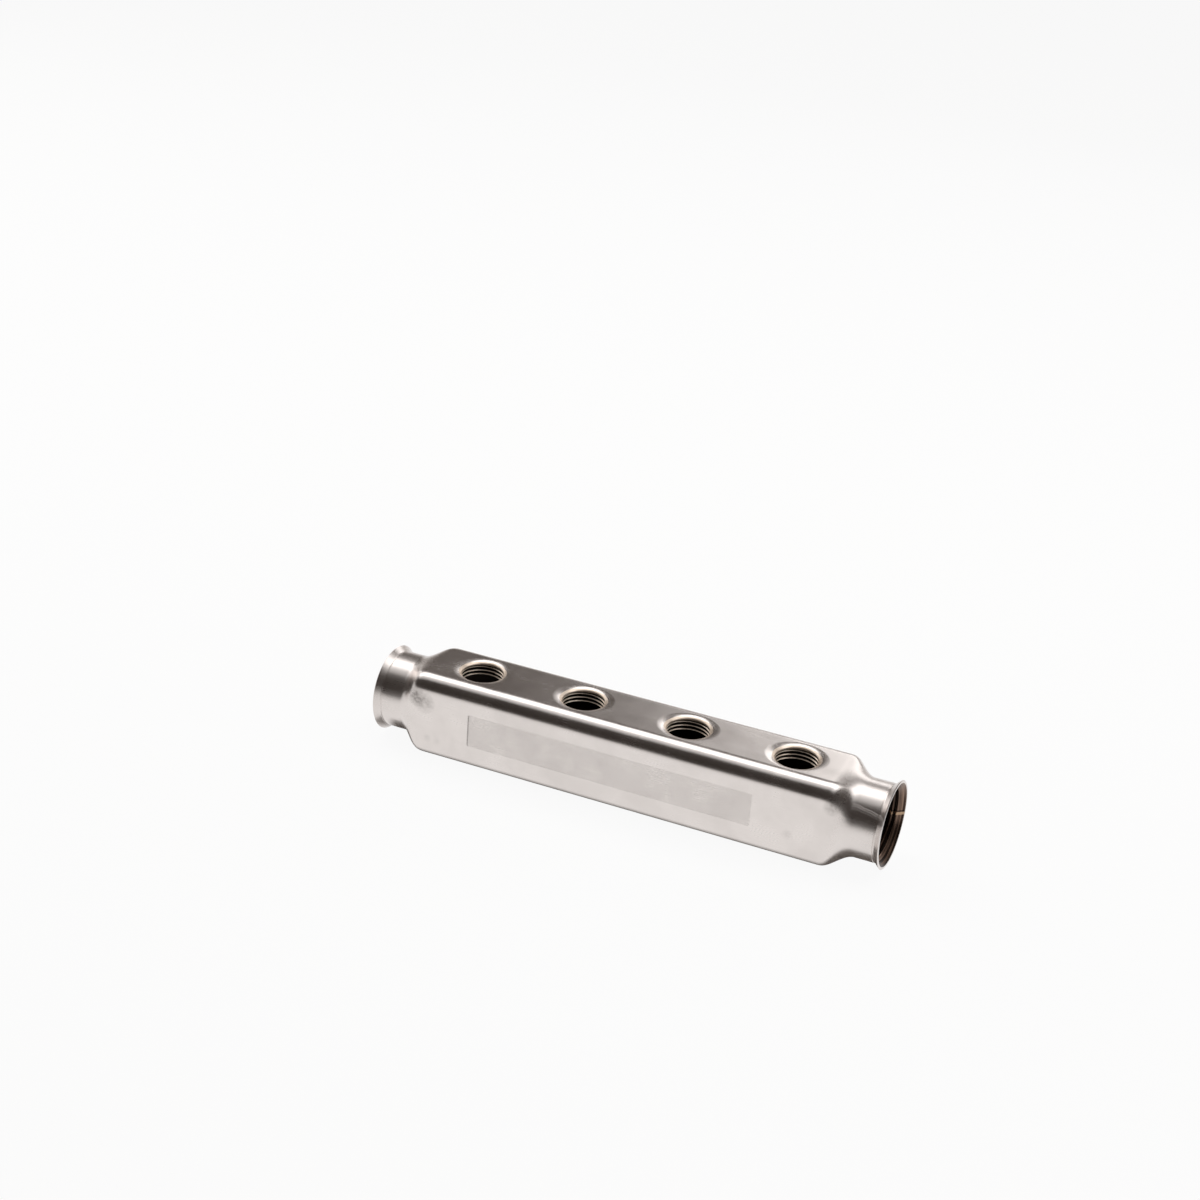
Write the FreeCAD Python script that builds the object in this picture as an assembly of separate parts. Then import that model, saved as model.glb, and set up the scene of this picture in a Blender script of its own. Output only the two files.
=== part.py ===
"""Four-port water manifold formed from one stainless steel tube, with a clear label film on its front.

The tube is pressed square between its ports. A smooth shoulder brings each end down to a round neck
with a female inch thread and a flared rim. Each port is drawn inwards from the top wall as a collar,
and its female thread is cut in that collar. Threads are kept as plain bores of their crest radius.

Millimetres. The tube runs along X, the ports point up +Z, and the origin is the tube's centre.
"""

import FreeCAD, Part
import math
import os

from FreeCAD import Vector

# Tube
LENGTH = 240.0
SIDE = 40.0
CORNER_R = 7.5
WALL = 2.0

# Ends: a one inch female pipe thread in a swaged neck, behind a flared rim
NECK_R = 17.4
NECK_THREAD_CREST_R = 15.146
NECK_THREAD_LENGTH = 10.6
SHOULDER_LENGTH = 13.5
NECK_LENGTH = 12.3
SHOULDER_STEPS = 4
SHOULDER_DEGREE = 3
INNER_SHOULDER_LENGTH = 10.5
NECK_SIDE_SWEEP = math.radians(25)
RIM_R = 19.5
RIM_EDGE_WALL = 1.2
RIM_EDGE_CHAMFER = 0.3
FLARE_DEPTH = 3.6
FLARE_SLOPE = math.radians(42)

# Ports: half inch female pipe threads in collars drawn inwards
PORT_COUNT = 4
PORT_PITCH = 50.0
PORT_THREAD_CREST_R = 9.316
COLLAR_DEPTH = 6.8
LIP_R = 12.4
LIP_DROP = 1.7
LIP_FLAT_PULL = 0.6
LIP_BORE_PULL = 0.75

# Label film on the front face
LABEL_LENGTH = 135.0
LABEL_HEIGHT = 15.5
LABEL_THICKNESS = 0.1
LABEL_CORNER_R = 0.8
LABEL_CENTRE_X = -4.0

HALF_LENGTH = LENGTH / 2
NECK_START = HALF_LENGTH - NECK_LENGTH
SHOULDER_START = NECK_START - SHOULDER_LENGTH
NECK_THREAD_START = HALF_LENGTH - FLARE_DEPTH - NECK_THREAD_LENGTH
INNER_SHOULDER_START = NECK_THREAD_START - INNER_SHOULDER_LENGTH
X_AXIS = Vector(1, 0, 0)
Z_AXIS = Vector(0, 0, 1)


def turned(outline):
    """The solid that a closed outline of (x, r) points sweeps round the tube's axis."""
    points = [Vector(x, 0, r) for x, r in outline]
    return Part.Face(Part.makePolygon(points + points[:1])).revolve(Vector(0, 0, 0), X_AXIS, 360)


def tube_section(x, half, corner_r, side_sweep):
    """A square with round corners across the tube at x. side_sweep bows its sides, up to a full circle
    where half and corner_r are equal: each side is then an arc of that half angle."""
    turn = math.cos(side_sweep) - math.sin(side_sweep)
    if side_sweep:
        side_r = (half - corner_r * turn) / (1 - turn)
        joint = Vector(0, side_r * math.sin(side_sweep), half - side_r * (1 - math.cos(side_sweep)))
        corner_centre = (side_r - corner_r) * math.sin(side_sweep)
    else:
        joint = Vector(0, half - corner_r, half)
        corner_centre = half - corner_r
    diagonal = corner_centre + corner_r * math.sqrt(0.5)
    edges = []
    for quarter in range(4):
        side_start = Vector(x, -joint.y, joint.z)
        side_end = Vector(x, joint.y, joint.z)
        corner_end = Vector(x, joint.z, joint.y)
        if side_sweep:
            side = Part.Arc(side_start, Vector(x, 0, half), side_end)
        else:
            side = Part.LineSegment(side_start, side_end)
        corner = Part.Arc(side_end, Vector(x, diagonal, diagonal), corner_end)
        for curve in (side, corner):
            edge = curve.toShape()
            edge.rotate(Vector(0, 0, 0), X_AXIS, -90.0 * quarter)
            edges.append(edge)
    return Part.Wire(edges)


def square_bar(half_length, half, corner_r):
    """The straight square run between the shoulders, filled."""
    face = Part.Face(tube_section(-half_length, half, corner_r, 0))
    return face.extrude(X_AXIS * 2 * half_length)


def shoulder_outside():
    """The smooth run from the square section to the round neck, filled, at the +X end."""
    half = SIDE / 2
    wires = []
    for step in range(SHOULDER_STEPS + 1):
        along = step / SHOULDER_STEPS
        ease = along * along * (3 - 2 * along)
        wires.append(
            tube_section(
                SHOULDER_START + along * SHOULDER_LENGTH,
                half + (NECK_R - half) * ease,
                CORNER_R + (NECK_R - CORNER_R) * ease,
                NECK_SIDE_SWEEP * ease,
            )
        )
    return Part.makeLoft(wires, True, False, False, SHOULDER_DEGREE)


def shoulder_inside():
    """The hollow that narrows from the square section to the neck's bore, at the +X end. Each side is a flat
    triangle, and each corner is bent out from the square's corner arc to a quarter of the bore's circle."""
    start = INNER_SHOULDER_START
    end = NECK_THREAD_START
    half = SIDE / 2 - WALL
    centre = SIDE / 2 - CORNER_R
    corner_diagonal = centre + (CORNER_R - WALL) * math.sqrt(0.5)
    bore_diagonal = NECK_THREAD_CREST_R * math.sqrt(0.5)
    left = Vector(start, -centre, half)
    right = Vector(start, centre, half)
    tip = Vector(end, 0, NECK_THREAD_CREST_R)
    side = Part.Face(Part.makePolygon([left, right, tip, left]))
    corner_arc = Part.Arc(right, Vector(start, corner_diagonal, corner_diagonal), Vector(start, half, centre))
    bore_arc = Part.Arc(tip, Vector(end, bore_diagonal, bore_diagonal), Vector(end, NECK_THREAD_CREST_R, 0))
    corner = Part.makeRuledSurface(corner_arc.toShape(), bore_arc.toShape())
    faces = [Part.Face(tube_section(start, half, CORNER_R - WALL, 0))]
    bore_edges = []
    for quarter in range(4):
        for shape, group in ((side, faces), (corner, faces), (bore_arc.toShape(), bore_edges)):
            turned_shape = shape.copy()
            turned_shape.rotate(Vector(0, 0, 0), X_AXIS, -90.0 * quarter)
            group.append(turned_shape)
    faces.append(Part.Face(Part.Wire(bore_edges)))
    shell = Part.makeShell(faces)
    shell.sewShape()
    return Part.makeSolid(shell)


def neck_outside():
    """The neck and its flared rim as a solid bar, at the +X end."""
    flare_end = HALF_LENGTH - RIM_EDGE_CHAMFER
    flare_start = flare_end - (RIM_R - NECK_R) / math.tan(FLARE_SLOPE)
    return turned(
        [
            (NECK_START, 0),
            (NECK_START, NECK_R),
            (flare_start, NECK_R),
            (flare_end, RIM_R),
            (HALF_LENGTH, RIM_R - RIM_EDGE_CHAMFER),
            (HALF_LENGTH, 0),
        ]
    )


def neck_inside():
    """The neck's bore and the inside of its flare, at the +X end."""
    return turned(
        [
            (NECK_THREAD_START, 0),
            (NECK_THREAD_START, NECK_THREAD_CREST_R),
            (HALF_LENGTH - FLARE_DEPTH, NECK_THREAD_CREST_R),
            (HALF_LENGTH, RIM_R - RIM_EDGE_WALL),
            (HALF_LENGTH, 0),
        ]
    )


def both_ends(shape):
    """A shape at the +X end and its mirror image at the other."""
    return [shape, shape.mirror(Vector(0, 0, 0), X_AXIS)]


def port_collar():
    """The lip and collar of one port at the origin's place. The lip is one smooth curve, drawn in from the
    top face and down into the bore."""
    top = SIDE / 2
    foot = top - COLLAR_DEPTH
    bore_top = top - LIP_DROP
    collar_r = PORT_THREAD_CREST_R + WALL
    reach_in = LIP_FLAT_PULL * (LIP_R - PORT_THREAD_CREST_R)
    lip = Part.BezierCurve()
    lip.setPoles(
        [
            Vector(LIP_R, 0, top),
            Vector(LIP_R - reach_in, 0, top),
            Vector(PORT_THREAD_CREST_R, 0, bore_top + LIP_BORE_PULL * LIP_DROP),
            Vector(PORT_THREAD_CREST_R, 0, bore_top),
        ]
    )
    walls = Part.makePolygon(
        [
            Vector(PORT_THREAD_CREST_R, 0, bore_top),
            Vector(PORT_THREAD_CREST_R, 0, foot),
            Vector(collar_r, 0, foot),
            Vector(collar_r, 0, top - WALL),
            Vector(LIP_R, 0, top - WALL),
            Vector(LIP_R, 0, top),
        ]
    )
    return Part.Face(Part.Wire([lip.toShape()] + walls.Edges)).revolve(Vector(0, 0, 0), Z_AXIS, 360)


def port_places():
    """The ports' places along X."""
    return [(index - (PORT_COUNT - 1) / 2) * PORT_PITCH for index in range(PORT_COUNT)]


def manifold_body():
    """The whole tube, formed as one piece."""
    half = SIDE / 2
    outside = square_bar(SHOULDER_START, half, CORNER_R).multiFuse(
        both_ends(shoulder_outside()) + both_ends(neck_outside())
    )
    inside = square_bar(INNER_SHOULDER_START, half - WALL, CORNER_R - WALL).multiFuse(
        both_ends(shoulder_inside()) + both_ends(neck_inside())
    )
    tube = outside.cut(inside)
    collar = port_collar()
    for x in port_places():
        hole = Part.makeCylinder(LIP_R, 2 * WALL, Vector(x, 0, half - WALL), Z_AXIS)
        tube = tube.cut(hole)
        tube = tube.fuse(collar.translated(Vector(x, 0, 0)))
    return tube.removeSplitter()


def label_film():
    """The clear film stuck on the front face, left blank."""
    film = Part.makeBox(
        LABEL_LENGTH,
        LABEL_THICKNESS,
        LABEL_HEIGHT,
        Vector(LABEL_CENTRE_X - LABEL_LENGTH / 2, -SIDE / 2 - LABEL_THICKNESS, -LABEL_HEIGHT / 2),
    )
    corners = [e for e in film.Edges if abs(e.tangentAt(e.FirstParameter).y) > 0.99]
    return film.makeFillet(LABEL_CORNER_R, corners)


def main():
    os.makedirs("parts", exist_ok=True)
    pieces = {"manifold_body": manifold_body(), "label_film": label_film()}
    for name, shape in pieces.items():
        shape.exportStep(f"parts/{name}.step")
        box = shape.optimalBoundingBox(False, False)
        print(
            f"{name}: valid {shape.isValid()}, solids {len(shape.Solids)}, faces {len(shape.Faces)},"
            f" volume {shape.Volume:.1f} mm3, size {box.XLength:.2f} x {box.YLength:.2f} x {box.ZLength:.2f} mm"
        )


main()
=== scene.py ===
import math

import bmesh
import bpy
from mathutils import Matrix, Vector


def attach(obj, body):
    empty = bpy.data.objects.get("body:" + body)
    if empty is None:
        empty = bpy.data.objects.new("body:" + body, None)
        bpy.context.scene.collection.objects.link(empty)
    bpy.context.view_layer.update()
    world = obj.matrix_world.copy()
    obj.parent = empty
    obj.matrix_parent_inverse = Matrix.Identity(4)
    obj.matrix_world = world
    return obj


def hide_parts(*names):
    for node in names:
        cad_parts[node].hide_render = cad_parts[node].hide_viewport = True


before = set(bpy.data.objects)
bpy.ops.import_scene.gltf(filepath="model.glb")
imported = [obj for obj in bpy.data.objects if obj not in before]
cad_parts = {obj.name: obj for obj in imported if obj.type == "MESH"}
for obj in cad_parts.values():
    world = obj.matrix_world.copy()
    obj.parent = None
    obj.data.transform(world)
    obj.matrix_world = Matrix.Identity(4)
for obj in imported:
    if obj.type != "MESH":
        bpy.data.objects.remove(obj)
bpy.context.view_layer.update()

# Tube
# One stainless steel tube, pressed square in the middle and swaged down to round necks with flared rims.
# Its top wall is drawn inwards into four collars, so lips, collars, shoulders and rims are one skin.

mm = 0.001
tolerance = 0.001 * mm
slack = 0.01 * mm
tube_half_length = 120 * mm
tube_half_side = 20 * mm
tube_corner = 7.5 * mm
tube_wall = 2 * mm
flat_share = 0.998
shoulder_start = 94.2 * mm
shoulder_end = 107.7 * mm
shoulder_steps = 24
shoulder_margin = 0.7 * mm
left_bend = 0.6
right_bend = 0.8
inner_shoulder_start = 95.3 * mm
inner_shoulder_end = 105.8 * mm
inner_shoulder_steps = 10
neck_radius = 17.4 * mm
neck_bow = math.radians(25)
neck_thread_root = 16.62 * mm
neck_thread_crest = 15.146 * mm
neck_thread_relief = 1.2 * mm
groove_width = 0.6 * mm
groove_depth = 0.2 * mm
rim_radius = 19.5 * mm
rim_inside = 18.3 * mm
rim_chamfer = 0.3 * mm
flare_slope = math.radians(42)
flare_root = 0.6 * mm
flare_root_steps = 5
mouth_depth = 3.6 * mm
port_places = (-75 * mm, -25 * mm, 25 * mm, 75 * mm)
port_thread_root = 10.478 * mm
port_thread_crest = 9.316 * mm
port_thread_relief = 0.5 * mm
lip_radius = 12.4 * mm
lip_drop = 1.7 * mm
lip_flat_pull = 0.2
lip_bore_pull = 0.75
lip_margin = 0.05 * mm
lip_stretch = 0.15
lip_polish = 0.45 * mm
lip_steps = 14
lip_sides = 96
collar_depth = 6.8 * mm
collar_radius = 11.316 * mm
collar_foot = tube_half_side - collar_depth


def tube_outline(half, corner, bow):
    """The (y, z) points round a square with round corners. bow makes its sides arcs of that half angle,
    so that a corner as large as the half side gives a circle."""
    side_radius = 0
    centre = half - corner
    if bow:
        turn = math.cos(bow) - math.sin(bow)
        side_radius = (half - corner * turn) / (1 - turn)
        centre = (side_radius - corner) * math.sin(bow)
    quarter = []
    for share in (-1, -flat_share, -0.75, -0.45, -0.15, 0.15, 0.45, 0.75, flat_share):
        if bow:
            angle = share * bow
            quarter.append((side_radius * math.sin(angle), half - side_radius * (1 - math.cos(angle))))
        else:
            quarter.append((share * centre, half))
    corner_steps = 14
    for step in range(corner_steps):
        angle = bow + (math.pi / 2 - 2 * bow) * step / corner_steps
        quarter.append((centre + corner * math.sin(angle), centre + corner * math.cos(angle)))
    outline = []
    for side_count in range(4):
        outline += quarter
        quarter = [(z, -y) for y, z in quarter]
    return outline


def round_axis(point):
    """A key that puts points of one ring in order round the tube."""
    return math.atan2(point[1], point[0])


def shoulder_rings(start, end, half, corner, radius, steps):
    """Rings from the square section to the neck, on a smooth S-shaped line."""
    rings = []
    for step in range(steps + 1):
        along = step / steps
        ease = along * along * (3 - 2 * along)
        rings.append(
            (
                start + along * (end - start),
                half + (radius - half) * ease,
                corner + (radius - corner) * ease,
                neck_bow * ease,
            )
        )
    return rings


# The rings run from the middle out along the skin to the rim, round it, and back inside to the middle. The
# neck meets the flare with a fine groove and a small rounding.
flare_end = tube_half_length - rim_chamfer
flare_start = flare_end - (rim_radius - neck_radius) / math.tan(flare_slope)
root_start = flare_start - flare_root * math.tan(flare_slope / 2)
groove_start = root_start - groove_width
mouth_slope = (rim_inside - neck_thread_crest) / mouth_depth
thread_mouth = tube_half_length - (rim_inside - neck_thread_root) / mouth_slope
inner_half = tube_half_side - tube_wall
inner_corner = tube_corner - tube_wall
outer_shoulder = shoulder_rings(
    shoulder_start, shoulder_end, tube_half_side, tube_corner, neck_radius, shoulder_steps
)
inner_shoulder = shoulder_rings(
    inner_shoulder_start,
    inner_shoulder_end,
    inner_half,
    inner_corner,
    neck_thread_crest,
    inner_shoulder_steps,
)
rings = [(shoulder_start - shoulder_margin, tube_half_side, tube_corner, 0)]
rings += outer_shoulder
for share, depth in ((0, 0), (0.25, groove_depth), (0.75, groove_depth)):
    radius = neck_radius - depth
    rings.append((groove_start + share * groove_width, radius, radius, neck_bow))
for step in range(flare_root_steps + 1):
    angle = flare_slope * step / flare_root_steps
    x = root_start + flare_root * math.sin(angle)
    radius = neck_radius + flare_root * (1 - math.cos(angle))
    rings.append((x, radius, radius, neck_bow))
for x, radius in (
    (flare_end, rim_radius),
    (tube_half_length, rim_radius - rim_chamfer),
    (tube_half_length, rim_inside),
    (thread_mouth, neck_thread_root),
    (inner_shoulder_end + neck_thread_relief, neck_thread_root),
):
    rings.append((x, radius, radius, neck_bow))
rings += reversed(inner_shoulder)
rings.append((shoulder_start - shoulder_margin, inner_half, inner_corner, 0))
rings.append((0, inner_half, inner_corner, 0))

tube = bmesh.new()
on_shoulder = tube.verts.layers.int.new("outer_shoulder")
start = [tube.verts.new((0, y, z)) for y, z in tube_outline(tube_half_side, tube_corner, 0)]
loop = [tube.edges.new((start[i - 1], start[i])) for i in range(len(start))]
for ring_shape in rings:
    x, half, corner, bow = ring_shape
    grown = bmesh.ops.extrude_edge_only(tube, edges=loop)["geom"]
    corners = [item for item in grown if isinstance(item, bmesh.types.BMVert)]
    corners.sort(key=lambda vert: round_axis(vert.co.yz))
    outline = sorted(tube_outline(half, corner, bow), key=round_axis)
    for vert, (y, z) in zip(corners, outline):
        vert.co = (x, y, z)
        vert[on_shoulder] = int(ring_shape in outer_shoulder)
    ring = set(corners)
    loop = [item for item in grown if isinstance(item, bmesh.types.BMEdge) and ring.issuperset(item.verts)]
bmesh.ops.mirror(tube, geom=tube.verts[:] + tube.edges[:] + tube.faces[:], axis="X", merge_dist=tolerance)

# The shoulders start gently and bend in late, so they meet their necks more sharply, the -X one most.
shoulder_length = shoulder_end - shoulder_start
for vert in tube.verts:
    if vert[on_shoulder]:
        side, bend = (1, right_bend) if vert.co.x > 0 else (-1, left_bend)
        along = max(0, (side * vert.co.x - shoulder_start) / shoulder_length)
        vert.co.x = side * (shoulder_start + shoulder_length * along**bend)
tube.verts.layers.int.remove(on_shoulder)

# The flat top wall is opened, outside and inside, and filled again round the lips and collars.
flat_half = flat_share * (tube_half_side - tube_corner) + tolerance
for height in (tube_half_side, inner_half):
    flat = [
        face
        for face in tube.faces
        if all(
            abs(vert.co.z - height) < tolerance
            and abs(vert.co.y) < flat_half
            and abs(vert.co.x) < shoulder_start - shoulder_margin / 2
            for vert in face.verts
        )
    ]
    bmesh.ops.delete(tube, geom=flat, context="FACES")
bore_top = tube_half_side - lip_drop
lip_handles = (
    Vector((lip_radius, 0, tube_half_side)),
    Vector((lip_radius - lip_flat_pull * (lip_radius - port_thread_crest), 0, tube_half_side)),
    Vector((port_thread_crest, 0, bore_top + lip_bore_pull * lip_drop)),
    Vector((port_thread_crest, 0, bore_top)),
)
lip_profile = [Vector((lip_radius + lip_margin, 0, tube_half_side))]
for step in range(lip_steps + 1):
    t = step / lip_steps
    shares = ((1 - t) ** 3, 3 * t * (1 - t) ** 2, 3 * t * t * (1 - t), t**3)
    lip_profile.append(sum((handle * share for handle, share in zip(lip_handles, shares)), Vector()))
for radius, height in (
    (port_thread_root, bore_top - port_thread_relief),
    (port_thread_root, collar_foot),
    (collar_radius, collar_foot),
    (collar_radius, inner_half),
    (collar_radius + lip_margin, inner_half),
):
    lip_profile.append(Vector((radius, 0, height)))
for place in port_places:
    line = [tube.verts.new(point + Vector((place, 0, 0))) for point in lip_profile]
    edges = [tube.edges.new(pair) for pair in zip(line, line[1:])]
    bmesh.ops.spin(
        tube,
        geom=line + edges,
        cent=(place, 0, 0),
        axis=(0, 0, 1),
        angle=2 * math.pi,
        steps=lip_sides,
        use_merge=True,
    )
bmesh.ops.remove_doubles(tube, verts=tube.verts[:], dist=tolerance)

# The lips reach a little further along the tube than across it.
for vert in tube.verts:
    if vert.co.z < bore_top or abs(vert.co.y) > lip_radius + lip_margin:
        continue
    for place in port_places:
        reach = math.hypot(vert.co.x - place, vert.co.y)
        if reach < lip_radius + 2 * lip_margin:
            dished = max(0, (reach - port_thread_crest) / (lip_radius - port_thread_crest))
            vert.co.x = place + (vert.co.x - place) * (1 + lip_stretch * dished)
for height in (tube_half_side, inner_half):
    open_edges = [
        edge
        for edge in tube.edges
        if edge.is_boundary and all(abs(vert.co.z - height) < tolerance for vert in edge.verts)
    ]
    bmesh.ops.triangle_fill(tube, use_beauty=True, edges=open_edges)
bmesh.ops.recalc_face_normals(tube, faces=tube.faces[:])


def colour(code):
    """A linear colour from an sRGB hex code."""
    parts = [int(code[i : i + 2], 16) / 255 for i in (1, 3, 5)]
    return tuple(p / 12.92 if p < 0.04045 else ((p + 0.055) / 1.055) ** 2.4 for p in parts) + (1,)


def add_node(tree, kind, inputs=None, **settings):
    """A node with its settings. An input is a value, or an output socket to link it to."""
    node = tree.nodes.new(kind)
    for key, value in settings.items():
        setattr(node, key, value)
    for key, value in (inputs or {}).items():
        if isinstance(value, bpy.types.NodeSocket):
            tree.links.new(value, node.inputs[key])
        else:
            node.inputs[key].default_value = value
    return node


def maths(tree, operation, *values):
    """The result of one sum on values or sockets."""
    return add_node(tree, "ShaderNodeMath", dict(enumerate(values)), operation=operation).outputs[0]


def remap(tree, value, low, high, to_low=0.0, to_high=1.0, **settings):
    """A value carried from one range to another, and kept within it."""
    inputs = {"Value": value, "From Min": low, "From Max": high, "To Min": to_low, "To Max": to_high}
    return add_node(tree, "ShaderNodeMapRange", inputs, **settings).outputs["Result"]


def noise(tree, place, size, **inputs):
    """A noise pattern with features of about this size."""
    inputs = {"Vector": place, "Scale": 1 / size, **inputs}
    return add_node(tree, "ShaderNodeTexNoise", inputs).outputs["Fac"]


def blend(tree, share, first, second):
    """A colour between two others."""
    inputs = {"Factor": share, "A": first, "B": second}
    return add_node(tree, "ShaderNodeMix", inputs, data_type="RGBA").outputs[2]


def stretched(tree, place, scale):
    """Coordinates scaled along each axis, to draw a pattern out where the scale is small."""
    return add_node(tree, "ShaderNodeMapping", {"Vector": place, "Scale": scale}).outputs["Vector"]


def new_material(name):
    """A material with an empty node tree, and the object coordinates in it."""
    material = bpy.data.materials.new(name)
    material.use_nodes = True
    tree = material.node_tree
    tree.nodes.clear()
    return material, tree, add_node(tree, "ShaderNodeTexCoord").outputs["Object"]


def finish_metal(tree, base_colour, roughness, **inputs):
    """Bare metal as the material's surface."""
    metal = add_node(
        tree,
        "ShaderNodeBsdfPrincipled",
        {"Base Color": base_colour, "Metallic": 1, "Roughness": roughness, **inputs},
    )
    add_node(tree, "ShaderNodeOutputMaterial", {"Surface": metal.outputs[0]})


# Satin stainless steel, AISI 304: drawn and formed cold, so it keeps faint lines along the tube and a soft
# cloudiness from handling. Both show as small changes of gloss more than of colour.
satin_steel, tree, place = new_material("satin_stainless_steel")
spot = add_node(tree, "ShaderNodeSeparateXYZ", {"Vector": place}).outputs
line_spacing = 0.3 * mm
cloud_size = 16 * mm
lines = noise(tree, stretched(tree, place, (0.01, 1, 1)), line_spacing, Detail=3, Roughness=0.6)
clouds = noise(tree, place, cloud_size, Detail=4, Roughness=0.55)
tone = remap(tree, clouds, 0.35, 0.65)
steel_colour = blend(tree, tone, colour("#dad3cf"), colour("#e3dcd8"))
gloss = maths(tree, "ADD", lines, clouds)
steel_roughness = remap(tree, gloss, 0.7, 1.3, 0.22, 0.28)

# The shoulders and necks are brushed round after they are swaged, so they are a little duller there.
brush_spacing = 0.5 * mm
along = maths(tree, "ABSOLUTE", spot["X"])
swaged = remap(tree, along, 95 * mm, 105 * mm, interpolation_type="SMOOTHSTEP")
brushing = noise(tree, stretched(tree, place, (1, 0.03, 0.03)), brush_spacing, Detail=2, Roughness=0.6)
line_height = add_node(tree, "ShaderNodeMix", {"Factor": swaged, "A": lines, "B": brushing}).outputs[0]
steel_roughness = maths(tree, "MULTIPLY_ADD", swaged, 0.04, steel_roughness)

# Smudges on the front face and the shoulders, given by their middle, size and strength. The faint ones low
# on the front face are handling marks; the strong ones high on the shoulders, under the top corners, are
# painted dark reflection.
smudge_and_shade_grain = 1.2 * mm
smudge_and_shade_edge = noise(tree, place, smudge_and_shade_grain, Detail=3)
for middle, size, strength in (
    ((-91.3 * mm, -20 * mm, -9.3 * mm), 2.4 * mm, 0.16),
    ((-86.5 * mm, -20 * mm, -9.6 * mm), 2.8 * mm, 0.12),
    ((-93.5 * mm, -20 * mm, 8 * mm), 6 * mm, 0.6),
    ((-98 * mm, -20 * mm, 10 * mm), 5.5 * mm, 1.0),
    ((98.5 * mm, -19.8 * mm, 11.5 * mm), 4.5 * mm, 0.6),
    ((80.6 * mm, -20 * mm, -6.6 * mm), 2.8 * mm, 0.18),
):
    distance = add_node(tree, "ShaderNodeVectorMath", {0: place, 1: middle}, operation="DISTANCE")
    near = remap(tree, distance.outputs["Value"], size, 0.3 * size, 0.0, strength)
    smudge_and_shade = maths(tree, "MULTIPLY", near, smudge_and_shade_edge)
    steel_colour = blend(tree, smudge_and_shade, steel_colour, colour("#4a443e"))

# A few scratches run along the front of the neck at the +X end, sloping a little. Each is given by its
# height, half width and depth. They catch the light, because they are rougher than the steel round them.
break_size = 4 * mm
wander = 0.4 * mm
on_neck = maths(tree, "GREATER_THAN", spot["X"], 105 * mm)
in_front = maths(tree, "LESS_THAN", spot["Y"], 0.0)
on_front = maths(tree, "MULTIPLY", on_neck, in_front)
waver = remap(tree, noise(tree, place, break_size, Detail=2), 0.0, 1.0, -wander, wander)
slope = maths(tree, "MULTIPLY_ADD", spot["X"], 0.136, spot["Z"])
track = maths(tree, "ADD", slope, waver)
scratched = 0.0
for height, half_width, depth in (
    (26.7 * mm, 0.17 * mm, 1.0),
    (26.0 * mm, 0.22 * mm, 0.7),
    (25.2 * mm, 0.15 * mm, 0.5),
):
    on_track = maths(tree, "COMPARE", track, height, half_width)
    scratched = maths(tree, "MAXIMUM", scratched, maths(tree, "MULTIPLY", on_track, depth))
scratched = maths(tree, "MULTIPLY", scratched, on_front)
steel_roughness = maths(tree, "MULTIPLY_ADD", scratched, 0.35, steel_roughness)

# The pressed walls are very slightly wavy.
wave_size = 20 * mm
waves = noise(tree, place, wave_size, Detail=1)
wavy = add_node(tree, "ShaderNodeBump", {"Height": waves, "Strength": 1, "Distance": 0.22 * mm})
grain = add_node(
    tree,
    "ShaderNodeBump",
    {"Height": line_height, "Strength": 0.06, "Distance": 0.012 * mm, "Normal": wavy.outputs["Normal"]},
)
finish_metal(tree, steel_colour, steel_roughness, Normal=grain.outputs["Normal"])

# Cut stainless steel on the crests of the port threads and the bend of the lips above them: bright, with a
# tan cast from cutting oil.
cut_steel, tree, place = new_material("cut_stainless_steel")
oil_size = 3 * mm
oil = noise(tree, place, oil_size, Detail=3)
finish_metal(tree, blend(tree, oil, colour("#c8b49e"), colour("#f2e6da")), 0.42)

# The mouths and neck threads are turned too, and stained brown. A weld seam crosses the +X mouth, painted
# as a bright streak, a painted highlight, beside a dark one, painted shade, each given by its height, half
# width, strength and colour.
stained_steel, tree, place = new_material("stained_stainless_steel")
spot = add_node(tree, "ShaderNodeSeparateXYZ", {"Vector": place}).outputs
tool_feed = 0.7 * mm
tool_marks = noise(tree, stretched(tree, place, (1, 0.02, 0.02)), tool_feed, Detail=2)
tool_marks = remap(tree, tool_marks, 0.4, 0.6)
stain = blend(tree, tool_marks, colour("#392d27"), colour("#8c7465"))
at_end = maths(tree, "GREATER_THAN", spot["X"], 0.0)
at_back = maths(tree, "GREATER_THAN", spot["Y"], 0.0)
at_seam = maths(tree, "MULTIPLY", at_end, at_back)
for height, half_width, strength, code in (
    (-3.2 * mm, 0.6 * mm, 0.6, "#d2b394"),
    (-2.1 * mm, 0.3 * mm, 0.8, "#1d1613"),
):
    on_streak = maths(tree, "COMPARE", spot["Z"], height, half_width)
    on_streak = maths(tree, "MULTIPLY", on_streak, at_seam)
    on_streak = maths(tree, "MULTIPLY", on_streak, strength)
    stain = blend(tree, on_streak, stain, colour(code))
finish_metal(tree, stain, 0.34)

# The inside, the collar walls and the thread flanks are painted a blotchy dark brown-grey as shade, on
# rough unpolished steel.
shade_dark_steel, tree, place = new_material("unpolished_steel_painted_shade")
patch_size = 5 * mm
patches = noise(tree, place, patch_size, Detail=4)
finish_metal(tree, blend(tree, patches, colour("#332d29"), colour("#4d443d")), 0.55)


def add_piece(name, form, *materials):
    """A mesh object at the origin that rides on the part's one body."""
    mesh = bpy.data.meshes.new(name)
    form.to_mesh(mesh)
    form.free()
    mesh.shade_smooth()
    mesh.set_sharp_from_angle(angle=math.radians(28))
    for material in materials:
        mesh.materials.append(material)
    piece = bpy.data.objects.new(name, mesh)
    bpy.context.scene.collection.objects.link(piece)
    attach(piece, "root")
    return piece


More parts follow.
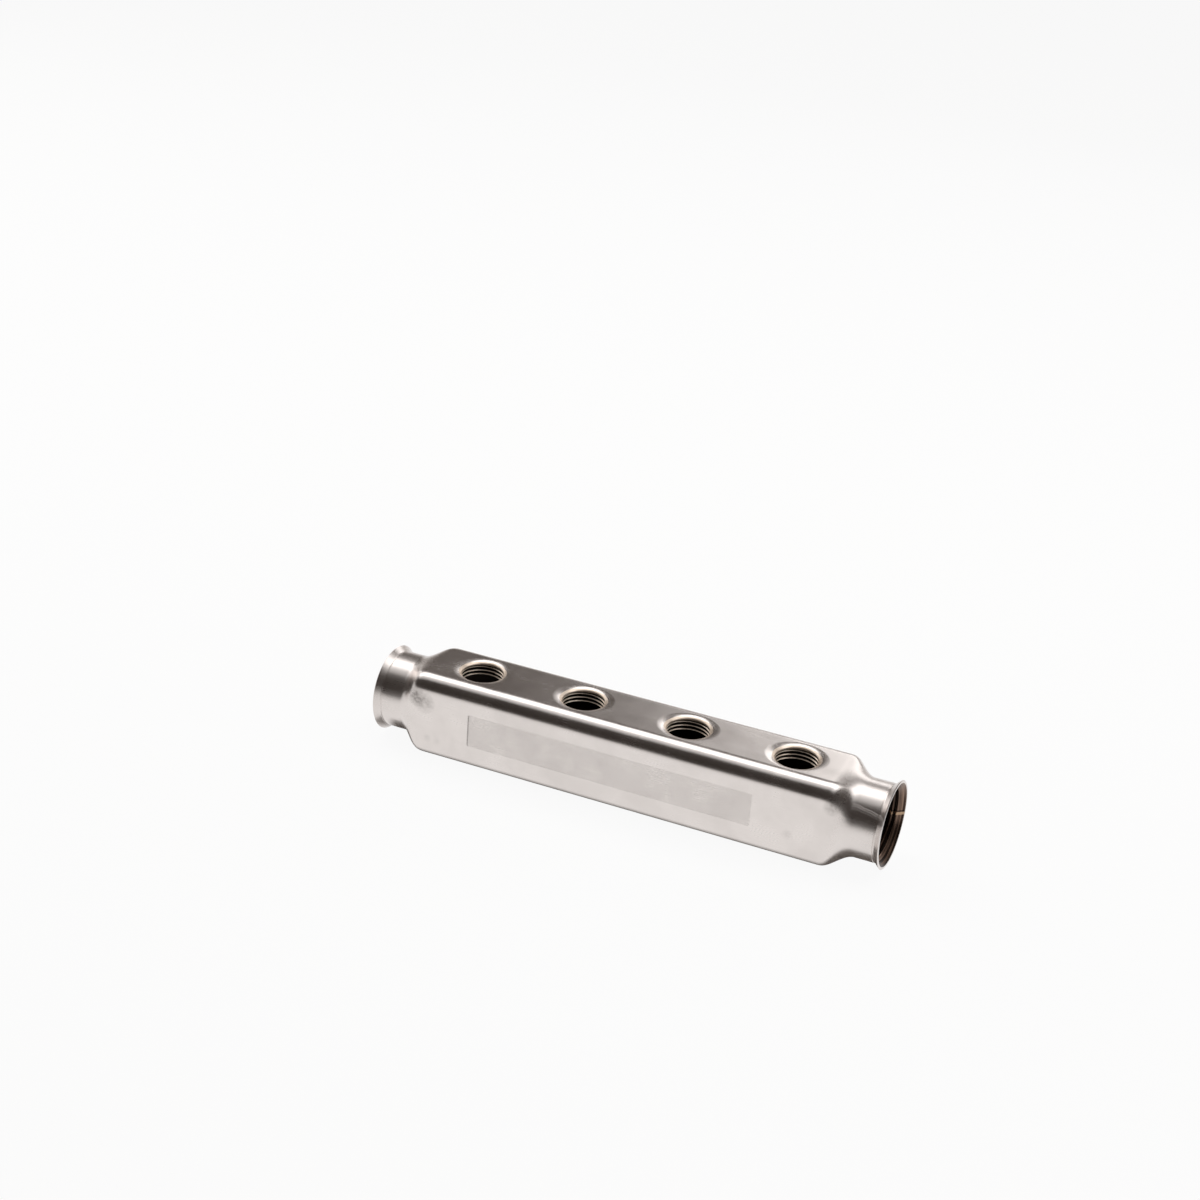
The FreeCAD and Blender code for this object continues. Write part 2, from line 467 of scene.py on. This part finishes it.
tube_finishes = (satin_steel, stained_steel, shade_dark_steel, cut_steel)
for face in tube.faces:
    middle = face.calc_center_median()
    between_ends = abs(middle.x) < shoulder_start
    faces_axis = face.normal.yz.dot(middle.yz) < 0
    in_collar = collar_foot < middle.z + slack < bore_top and abs(middle.y) < lip_radius
    on_lip = bore_top <= middle.z < tube_half_side - lip_polish and abs(middle.y) < port_thread_root
    finish = satin_steel
    if faces_axis and abs(middle.x) > thread_mouth - slack:
        finish = stained_steel
    # The collar walls and the inside of the tube get the steel that is painted dark as shade.
    elif in_collar and between_ends or faces_axis and middle.z < bore_top:
        finish = shade_dark_steel
    elif on_lip and between_ends:
        finish = cut_steel
    face.material_index = tube_finishes.index(finish)
tube_skin = add_piece("manifold_tube", tube, *tube_finishes)
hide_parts("manifold_body")

# Port threads
# Half inch parallel pipe threads, right-handed, cut in the collars after they are drawn.
# Each is a ridge that winds up the collar's wall to the underside of the lip.

port_pitch = 1.814 * mm
port_ridge = (
    (10.6 * mm, -0.84 * mm),
    (10.4 * mm, -0.7 * mm),
    (9.75 * mm, -0.36 * mm),
    (9.5 * mm, -0.21 * mm),
    (9.316 * mm, -0.08 * mm),
    (9.316 * mm, 0.08 * mm),
    (9.5 * mm, 0.21 * mm),
    (9.75 * mm, 0.36 * mm),
    (10.4 * mm, 0.7 * mm),
    (10.6 * mm, 0.84 * mm),
)
crest_reach = 9.75 * mm
port_turns = 4
port_steps = 72
port_top_gap = 0.1 * mm
port_threads = bmesh.new()
for place in port_places:
    ridge = [port_threads.verts.new((place + r, 0, collar_foot + h)) for r, h in port_ridge]
    face = port_threads.faces.new(ridge)
    bmesh.ops.spin(
        port_threads,
        geom=[face],
        cent=(place, 0, 0),
        axis=(0, 0, 1),
        dvec=(0, 0, port_pitch / port_steps),
        angle=2 * math.pi * port_turns,
        steps=port_steps * port_turns,
    )


def trim(form, point, outwards):
    """Cuts a form off at a plane and closes the cut."""
    cut = bmesh.ops.bisect_plane(
        form,
        geom=form.verts[:] + form.edges[:] + form.faces[:],
        plane_co=point,
        plane_no=outwards,
        clear_outer=True,
    )["geom_cut"]
    bmesh.ops.holes_fill(form, edges=[item for item in cut if isinstance(item, bmesh.types.BMEdge)])


trim(port_threads, (0, 0, collar_foot), (0, 0, -1))
trim(port_threads, (0, 0, bore_top - port_top_gap), (0, 0, 1))
bmesh.ops.recalc_face_normals(port_threads, faces=port_threads.faces[:])

# The crests are cut steel; the flanks and roots between them are painted dark, as painted shade.
thread_finishes = (cut_steel, shade_dark_steel)
for face in port_threads.faces:
    middle = face.calc_center_median()
    reach = min(math.hypot(middle.x - place, middle.y) for place in port_places)
    face.material_index = thread_finishes.index(shade_dark_steel if reach > crest_reach else cut_steel)
port_thread_ridges = add_piece("port_threads", port_threads, *thread_finishes)

# Neck threads
# One inch parallel pipe threads, right-handed, cut inside both necks behind the flared mouths.
# The mouth's cone trims the first turn.

neck_pitch = 2.309 * mm
neck_ridge = (
    (16.76 * mm, -1.06 * mm),
    (16.54 * mm, -0.9 * mm),
    (15.27 * mm, -0.3 * mm),
    (15.146 * mm, -0.15 * mm),
    (15.146 * mm, 0.15 * mm),
    (15.27 * mm, 0.3 * mm),
    (16.54 * mm, 0.9 * mm),
    (16.76 * mm, 1.06 * mm),
)
neck_turns = 6
neck_steps = 96
neck_thread_start = inner_shoulder_end + 0.6 * mm
neck_thread_cut = inner_shoulder_end + 1 * mm
neck_threads = bmesh.new()
ridge = [neck_threads.verts.new((neck_thread_start + h, 0, r)) for r, h in neck_ridge]
face = neck_threads.faces.new(ridge)
bmesh.ops.spin(
    neck_threads,
    geom=[face],
    cent=(0, 0, 0),
    axis=(1, 0, 0),
    dvec=(neck_pitch / neck_steps, 0, 0),
    angle=2 * math.pi * neck_turns,
    steps=neck_steps * neck_turns,
)
trim(neck_threads, (neck_thread_cut, 0, 0), (-1, 0, 0))
trim(neck_threads, (thread_mouth, 0, 0), (1, 0, 0))
for vert in neck_threads.verts:
    radius = vert.co.yz.length
    cone = rim_inside - (tube_half_length - vert.co.x) * mouth_slope
    if radius < cone:
        vert.co.yz *= cone / radius
other_end = bmesh.ops.duplicate(
    neck_threads, geom=neck_threads.verts[:] + neck_threads.edges[:] + neck_threads.faces[:]
)["geom"]
bmesh.ops.rotate(
    neck_threads,
    verts=[item for item in other_end if isinstance(item, bmesh.types.BMVert)],
    cent=(0, 0, 0),
    matrix=Matrix.Rotation(math.pi, 3, "Z"),
)
bmesh.ops.recalc_face_normals(neck_threads, faces=neck_threads.faces[:])
neck_thread_ridges = add_piece("neck_threads", neck_threads, stained_steel)

# Label film
# A thin clear polyester film stuck to the front face, blank. It keeps its shape from model.glb.
# Its face dulls the steel behind it a little and has a faint gloss of its own. Its edges are clear.

clear_film, tree, place = new_material("clear_polyester_film")
ripple_size = 6 * mm
film_cover = 0.05
ripples = noise(tree, place, ripple_size, Detail=2)
laid = add_node(tree, "ShaderNodeBump", {"Height": ripples, "Strength": 0.05, "Distance": 0.05 * mm})
normal = add_node(tree, "ShaderNodeNewGeometry").outputs["True Normal"]
facing = add_node(tree, "ShaderNodeSeparateXYZ", {"Vector": normal}).outputs["Y"]
cover = maths(tree, "MULTIPLY", maths(tree, "ABSOLUTE", facing), film_cover)
film = add_node(
    tree,
    "ShaderNodeBsdfPrincipled",
    {
        "Base Color": blend(tree, ripples, colour("#b4aca6"), colour("#c4beb8")),
        "Roughness": 0.3,
        "IOR": 1.5,
        "Alpha": cover,
        "Normal": laid.outputs["Normal"],
    },
)
add_node(tree, "ShaderNodeOutputMaterial", {"Surface": film.outputs[0]})
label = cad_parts["label_film"]
label.data.materials.clear()
label.data.materials.append(clear_film)

# Stage
# A white table under the part, with soft lights overhead, on the left and behind, in a darker room.
# The table and the backdrop look white to the camera. In the steel, the table's reflection fades out
# towards the front, and is dark right under the part.

floor_form = bmesh.new()
bmesh.ops.create_grid(floor_form, x_segments=1, y_segments=1, size=6)
bmesh.ops.translate(floor_form, verts=floor_form.verts[:], vec=(0, 0, -tube_half_side))
floor_mesh = bpy.data.meshes.new("floor")
floor_form.to_mesh(floor_mesh)
floor_form.free()
floor = bpy.data.objects.new("floor", floor_mesh)
bpy.context.scene.collection.objects.link(floor)
table_white, tree, place = new_material("table_white")
spot = add_node(tree, "ShaderNodeSeparateXYZ", {"Vector": place}).outputs
paths = add_node(tree, "ShaderNodeLightPath").outputs
shade_width = 4 * mm
seen_glow = 0.93
mirrored_glow = 0.94
clear_of_part = 0.0
for axis, reach in (("X", tube_half_length), ("Y", tube_half_side)):
    beyond = remap(tree, maths(tree, "ABSOLUTE", spot[axis]), reach - shade_width, reach)
    clear_of_part = maths(tree, "MAXIMUM", clear_of_part, beyond)
fading = remap(tree, spot["Y"], -0.5, -0.08)
seen = maths(tree, "MAXIMUM", paths["Is Camera Ray"], paths["Is Transmission Ray"])
seen = maths(tree, "MULTIPLY", seen, seen_glow)
mirrored = maths(tree, "MULTIPLY", paths["Is Glossy Ray"], mirrored_glow)
mirrored = maths(tree, "MULTIPLY", mirrored, clear_of_part)
mirrored = maths(tree, "MULTIPLY", mirrored, fading)
glow_share = maths(tree, "MAXIMUM", seen, mirrored)
paint = add_node(tree, "ShaderNodeBsdfDiffuse", {"Color": colour("#f4f3f1")})
glow = add_node(tree, "ShaderNodeEmission", {"Color": colour("#ffffff"), "Strength": 1.0})
table_top = add_node(
    tree, "ShaderNodeMixShader", {"Fac": glow_share, 1: paint.outputs[0], 2: glow.outputs[0]}
)
add_node(tree, "ShaderNodeOutputMaterial", {"Surface": table_top.outputs[0]})
floor_mesh.materials.append(table_white)

# Each light is given by its place, the point it faces, its width and depth, and how bright its face is.
for name, place, target, width, depth, brightness in (
    ("overhead_light", (-0.3, 0.3575, 1.05), (-0.3, 0.3575, 0), 3.0, 0.715, 1.4),
    ("overhead_spread", (-0.3, 0.1575, 1.06), (-0.3, 0.1575, 0), 3.0, 1.115, 0.6),
    ("left_light", (-1.5, 0.65, 0.6), (0, 0.65, 0.6), 0.9, 0.85, 0.9),
    ("back_light_wide", (0.1, 1.6, 0.75), (0.1, 0, 0.75), 1.61, 0.6, 0.24),
    ("back_light_middle", (0.17, 1.59, 0.75), (0.17, 0, 0.75), 1.45, 0.6, 0.47),
    ("back_light_right", (0.265, 1.58, 0.75), (0.265, 0, 0.75), 1.27, 0.6, 1.05),
):
    lamp = bpy.data.lights.new(name, "AREA")
    lamp.shape = "RECTANGLE"
    lamp.size = width
    lamp.size_y = depth
    lamp.energy = brightness * math.pi * width * depth
    lamp_object = bpy.data.objects.new(name, lamp)
    lamp_object.location = place
    lamp_object.rotation_euler = (Vector(target) - Vector(place)).to_track_quat("-Z", "Y").to_euler()
    bpy.context.scene.collection.objects.link(lamp_object)

# The room is dark in front of the part and paler behind it, most of all low down.
world = bpy.data.worlds.new("studio")
bpy.context.scene.world = world
world.use_nodes = True
tree = world.node_tree
tree.nodes.clear()
direction = add_node(tree, "ShaderNodeTexCoord").outputs["Generated"]
facing = add_node(tree, "ShaderNodeSeparateXYZ", {"Vector": direction}).outputs
behind = remap(tree, facing["Y"], -0.2, 0.5, interpolation_type="SMOOTHSTEP")
low = remap(tree, facing["Z"], 0.24, 0.1, interpolation_type="SMOOTHSTEP")
wall = blend(tree, low, colour("#5c5652"), colour("#b4aea9"))
room = blend(tree, behind, colour("#3a3532"), wall)
sky = add_node(tree, "ShaderNodeBackground", {"Color": room, "Strength": 1})
backdrop = add_node(tree, "ShaderNodeBackground", {"Color": colour("#fcfcfc"), "Strength": 1})
seen = add_node(tree, "ShaderNodeLightPath").outputs["Is Camera Ray"]
view = add_node(tree, "ShaderNodeMixShader", {"Fac": seen, 1: sky.outputs[0], 2: backdrop.outputs[0]})
add_node(tree, "ShaderNodeOutputWorld", {"Surface": view.outputs[0]})

# Camera
# It stands to the right of the part and a little above it, slightly rolled, as the photograph was taken.
# Its place and directions are fitted to the ports and outlines in the photograph.

camera_data = bpy.data.cameras.new("camera")
camera_data.sensor_width = 36
camera_data.lens = 62.9
camera_data.shift_x = -0.0238
camera_data.shift_y = 0.0151
camera_data.clip_start = 0.01
camera = bpy.data.objects.new("camera", camera_data)
bpy.context.scene.collection.objects.link(camera)
camera_place = Vector((0.2991, -0.7531, 0.4426))
towards = Vector((0.34114, -0.83972, 0.42249)).normalized()
level = Vector((0.91103, 0.40609, 0.07149))
level = (level - level.dot(towards) * towards).normalized()
upright = towards.cross(level)
camera_turn = Matrix((level, upright, towards)).transposed().to_4x4()
camera.matrix_world = Matrix.Translation(camera_place) @ camera_turn
bpy.context.scene.camera = camera
bpy.context.scene.view_settings.view_transform = "Standard"

bpy.context.view_layer.update()
